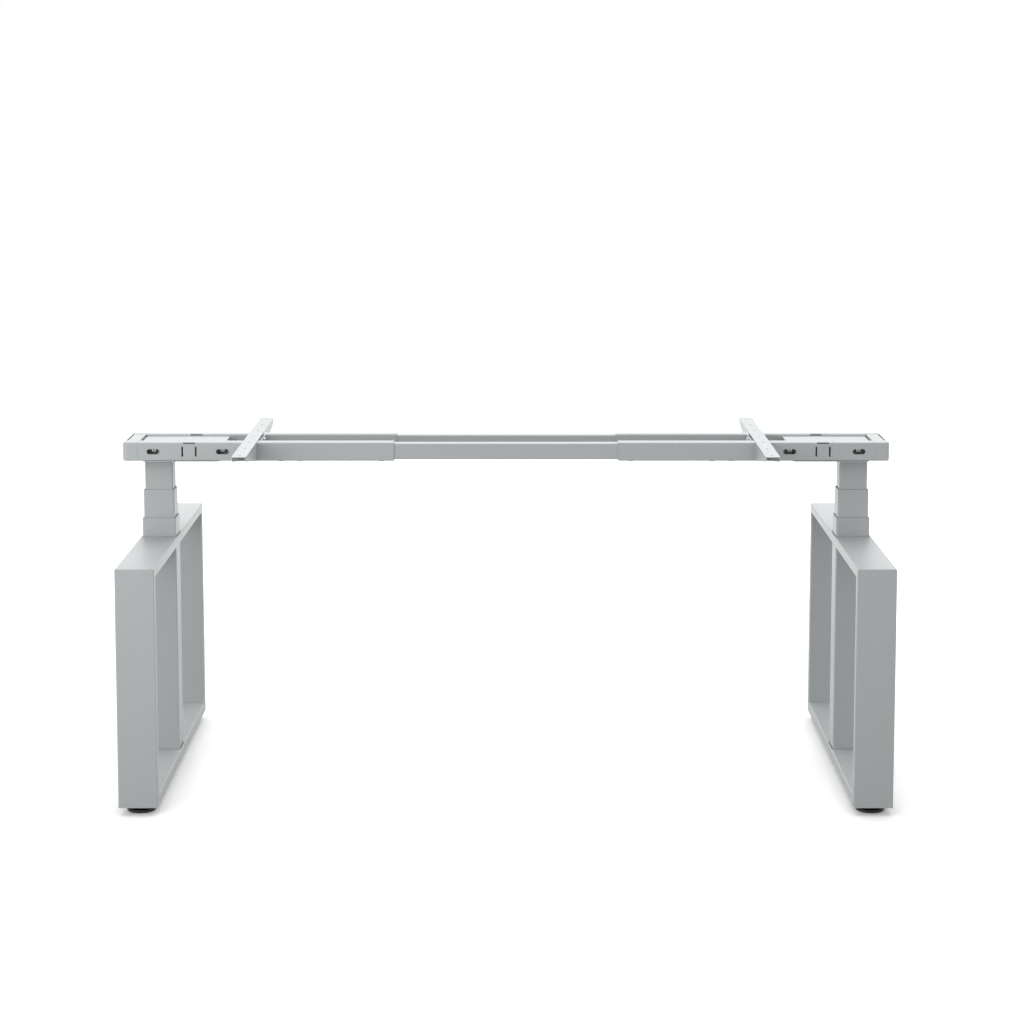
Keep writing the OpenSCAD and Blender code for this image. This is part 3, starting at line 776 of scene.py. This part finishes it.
class DESKFRAME_OT_model_pan_screws(bpy.types.Operator):
    """Model the pan-head screws under the rails and in the brackets"""

    bl_idname = "deskframe.model_pan_screws"
    bl_label = "Model Pan Screws"

    def execute(self, context):
        material = plated_zinc(context.scene.deskframe_finishes)
        settings = context.scene.deskframe_fittings
        for side in SIDES:
            node = f"{side}_pan_screws"
            inward = -1 if side == "right" else 1
            screws = []
            for low, high in solids(node):
                size = high - low
                middle = (low + high) / 2
                upright = abs(size.x - size.y) < WELD
                if upright:
                    master = self.model_screw(settings, size.x / 2, size.z)
                    place = (middle.x, middle.y, low.z + settings.screw_head)
                    axis = -UP
                else:
                    master = self.model_screw(settings, size.z / 2, size.x)
                    head_top = high.x if inward > 0 else low.x
                    place = (head_top - inward * settings.screw_head, middle.y, middle.z)
                    axis = (inward, 0, 0)
                screws.append(copy_to(master, f"{side}_screw", place, axis=axis))
                bpy.data.objects.remove(master)
            group = join(screws, f"{side}_cross_screws")
            hand_over(group, f"{side}_head", node, material)
        return {"FINISHED"}

    def model_screw(self, settings, radius, length):
        """Domed head from its seat up, the shank below, then the cross recess."""
        head = settings.screw_head
        rim = 0.35 * head
        crown_in = 0.5 * radius
        clear_selection()
        bpy.ops.mesh.primitive_cylinder_add(
            vertices=40, radius=radius, depth=rim, location=(0, 0, rim / 2))
        screw = start_piece("screw_master")
        pick_end(screw, UP)
        arc = [math.radians(angle) for angle in range(0, 90, 18)]
        rise = (head - rim) / math.sin(arc[-1])
        turn_steps([
            (radius - crown_in * (1 - math.cos(angle)), rim + rise * math.sin(angle))
            for angle in arc
        ])
        shank = length - head
        shank_r = settings.bolt_shank / 2
        pick_end(screw, -UP)
        turn_steps([(radius, 0), (shank_r, 0), (shank_r, -shank)])
        clear_selection()
        cut(screw, self.recess_cutter(settings))
        finish_shape(screw)
        return screw

    def recess_cutter(self, settings):
        """The room of the cross recess: two arms that narrow towards its floor."""
        head = settings.screw_head
        arm = settings.screw_slot
        arm_width = 0.2 * arm
        depth = 0.7 * head
        floor_share = 0.45
        arms = []
        for turn in (0, 90):
            bpy.ops.mesh.primitive_cube_add(size=1, location=(0, 0, head))
            slot = start_piece("recess_arm")
            bpy.ops.transform.resize(
                value=(arm, arm_width, 2 * depth), center_override=(0, 0, head))
            pick_end(slot, -UP)
            bpy.ops.transform.resize(
                value=(floor_share, 1, 1), center_override=(0, 0, head - depth))
            choose(slot)
            slot.rotation_euler.z = math.radians(turn)
            bpy.ops.object.transform_apply(location=True, rotation=True, scale=True)
            arms.append(slot)
        return join(arms, "recess_cutter")


class DESKFRAME_OT_build_studio(bpy.types.Operator):
    """Lay the floor, hang the lamps and set up the camera"""

    bl_idname = "deskframe.build_studio"
    bl_label = "Build Studio"

    def execute(self, context):
        settings = context.scene.deskframe_studio
        self.lay_floor(settings)
        self.light_room(context.scene, settings)
        for name, power, place, size, target in LAMPS:
            self.hang_lamp(name, getattr(settings, power), place, size, target)
        self.set_camera(context.scene, settings)
        context.scene.view_settings.view_transform = "Standard"
        return {"FINISHED"}

    def looked_at(self, nodes, links):
        """A value of 1 for rays that look straight, by a reflection or through glass."""
        path = nodes.new("ShaderNodeLightPath")
        last = path.outputs["Is Camera Ray"]
        for name in ("Is Glossy Ray", "Is Transmission Ray"):
            node = nodes.new("ShaderNodeMath")
            node.operation = "MAXIMUM"
            links.new(last, node.inputs[0])
            links.new(path.outputs[name], node.inputs[1])
            last = node.outputs["Value"]
        return last

    def lay_floor(self, settings):
        """A pale floor that keeps the shadow and runs out into white."""
        clear_selection()
        bpy.ops.mesh.primitive_circle_add(vertices=96, radius=FLOOR_RADIUS, fill_type="NGON")
        floor = bpy.context.active_object
        floor.name = "studio_floor"
        finish = Finish("Pale floor")
        finish.constant(Roughness=1, Specular_IOR_Level=0, Emission_Color=(1, 1, 1, 1))
        nodes = finish.nodes
        links = finish.links
        looked_at = self.looked_at(nodes, links)
        color = nodes.new("ShaderNodeMix")
        color.data_type = "VECTOR"
        # The last two of its vector sockets are A and B
        dim, bright = [socket for socket in color.inputs if socket.type == "VECTOR"][-2:]
        dim.default_value = settings.floor_bounce
        bright.default_value = settings.floor_color
        links.new(looked_at, color.inputs["Factor"])
        mixed = next(socket for socket in color.outputs if socket.type == "VECTOR")
        links.new(mixed, finish.shader.inputs["Base Color"])
        distance = nodes.new("ShaderNodeVectorMath")
        distance.operation = "LENGTH"
        links.new(finish.place, distance.inputs[0])
        white = nodes.new("ShaderNodeMapRange")
        white.interpolation_type = "SMOOTHSTEP"
        white.inputs["From Min"].default_value = 0.5 * settings.floor_reach
        white.inputs["From Max"].default_value = settings.floor_reach
        white.inputs["To Min"].default_value = settings.floor_lift
        white.inputs["To Max"].default_value = 1
        links.new(distance.outputs["Value"], white.inputs["Value"])
        lift = nodes.new("ShaderNodeMath")
        lift.operation = "MULTIPLY"
        links.new(looked_at, lift.inputs[0])
        links.new(white.outputs["Result"], lift.inputs[1])
        links.new(lift.outputs["Value"], finish.shader.inputs["Emission Strength"])
        floor.data.materials.append(finish.material)

    def light_room(self, scene, settings):
        """Even light from all round, and plain white where the room is looked at."""
        world = bpy.data.worlds.new("Studio room")
        world.use_nodes = True
        scene.world = world
        nodes = world.node_tree.nodes
        links = world.node_tree.links
        background = nodes["Background"]
        background.inputs["Color"].default_value = (1, 1, 1, 1)
        strength = nodes.new("ShaderNodeMapRange")
        strength.inputs["To Min"].default_value = settings.world_light
        strength.inputs["To Max"].default_value = 1
        links.new(self.looked_at(nodes, links), strength.inputs["Value"])
        links.new(strength.outputs["Result"], background.inputs["Strength"])

    def hang_lamp(self, name, power, place, size, target):
        """A rectangular lamp that points at a target."""
        data = bpy.data.lights.new(name, "AREA")
        data.shape = "RECTANGLE"
        data.size, data.size_y = size
        data.energy = power
        lamp = bpy.data.objects.new(name, data)
        lamp.location = place
        lamp.rotation_euler = (Vector(target) - Vector(place)).to_track_quat("-Z", "Y").to_euler()
        lamp.visible_camera = False
        bpy.context.scene.collection.objects.link(lamp)

    def set_camera(self, scene, settings):
        """The camera at the photograph's standpoint."""
        data = bpy.data.cameras.new("Camera")
        data.sensor_width = 36
        data.lens = settings.camera_lens
        data.shift_y = settings.camera_shift
        camera = bpy.data.objects.new("Camera", data)
        camera.location = settings.camera_place
        camera.rotation_euler = (math.radians(90) - settings.camera_tilt, 0, 0)
        scene.collection.objects.link(camera)
        scene.camera = camera


OPERATORS = (
    DESKFRAME_OT_paint_steelwork,
    DESKFRAME_OT_finish_glides,
    DESKFRAME_OT_finish_drives,
    DESKFRAME_OT_model_foot_pads,
    DESKFRAME_OT_model_foot_studs,
    DESKFRAME_OT_model_head_bolts,
    DESKFRAME_OT_model_pan_screws,
    DESKFRAME_OT_build_studio,
)
SETTINGS = {
    "deskframe_finishes": DeskFrameFinishes,
    "deskframe_fittings": DeskFrameFittings,
    "deskframe_studio": DeskFrameStudio,
}


class DESKFRAME_PT_sidebar(bpy.types.Panel):
    """Sidebar panel with the settings and the steps in order"""

    bl_idname = "DESKFRAME_PT_sidebar"
    bl_label = "Desk Frame"
    bl_space_type = "VIEW_3D"
    bl_region_type = "UI"
    bl_category = "Desk Frame"

    def draw(self, context):
        for name, group in SETTINGS.items():
            box = self.layout.box()
            box.label(text=group.__doc__)
            for setting in group.__annotations__:
                box.prop(getattr(context.scene, name), setting)
        for operator in OPERATORS:
            self.layout.operator(operator.bl_idname)


def register():
    """Register the settings, operators and panel."""
    for name, group in SETTINGS.items():
        bpy.utils.register_class(group)
        setattr(bpy.types.Scene, name, bpy.props.PointerProperty(type=group))
    for operator in OPERATORS:
        bpy.utils.register_class(operator)
    bpy.utils.register_class(DESKFRAME_PT_sidebar)


def unregister():
    """Take the panel, operators and settings away again."""
    bpy.utils.unregister_class(DESKFRAME_PT_sidebar)
    for operator in reversed(OPERATORS):
        bpy.utils.unregister_class(operator)
    for name, group in reversed(SETTINGS.items()):
        delattr(bpy.types.Scene, name)
        bpy.utils.unregister_class(group)


def main():
    """Run every step in order."""
    register()
    for operator in OPERATORS:
        group, name = operator.bl_idname.split(".")
        getattr(getattr(bpy.ops, group), name)()


if __name__ == "__main__":
    main()
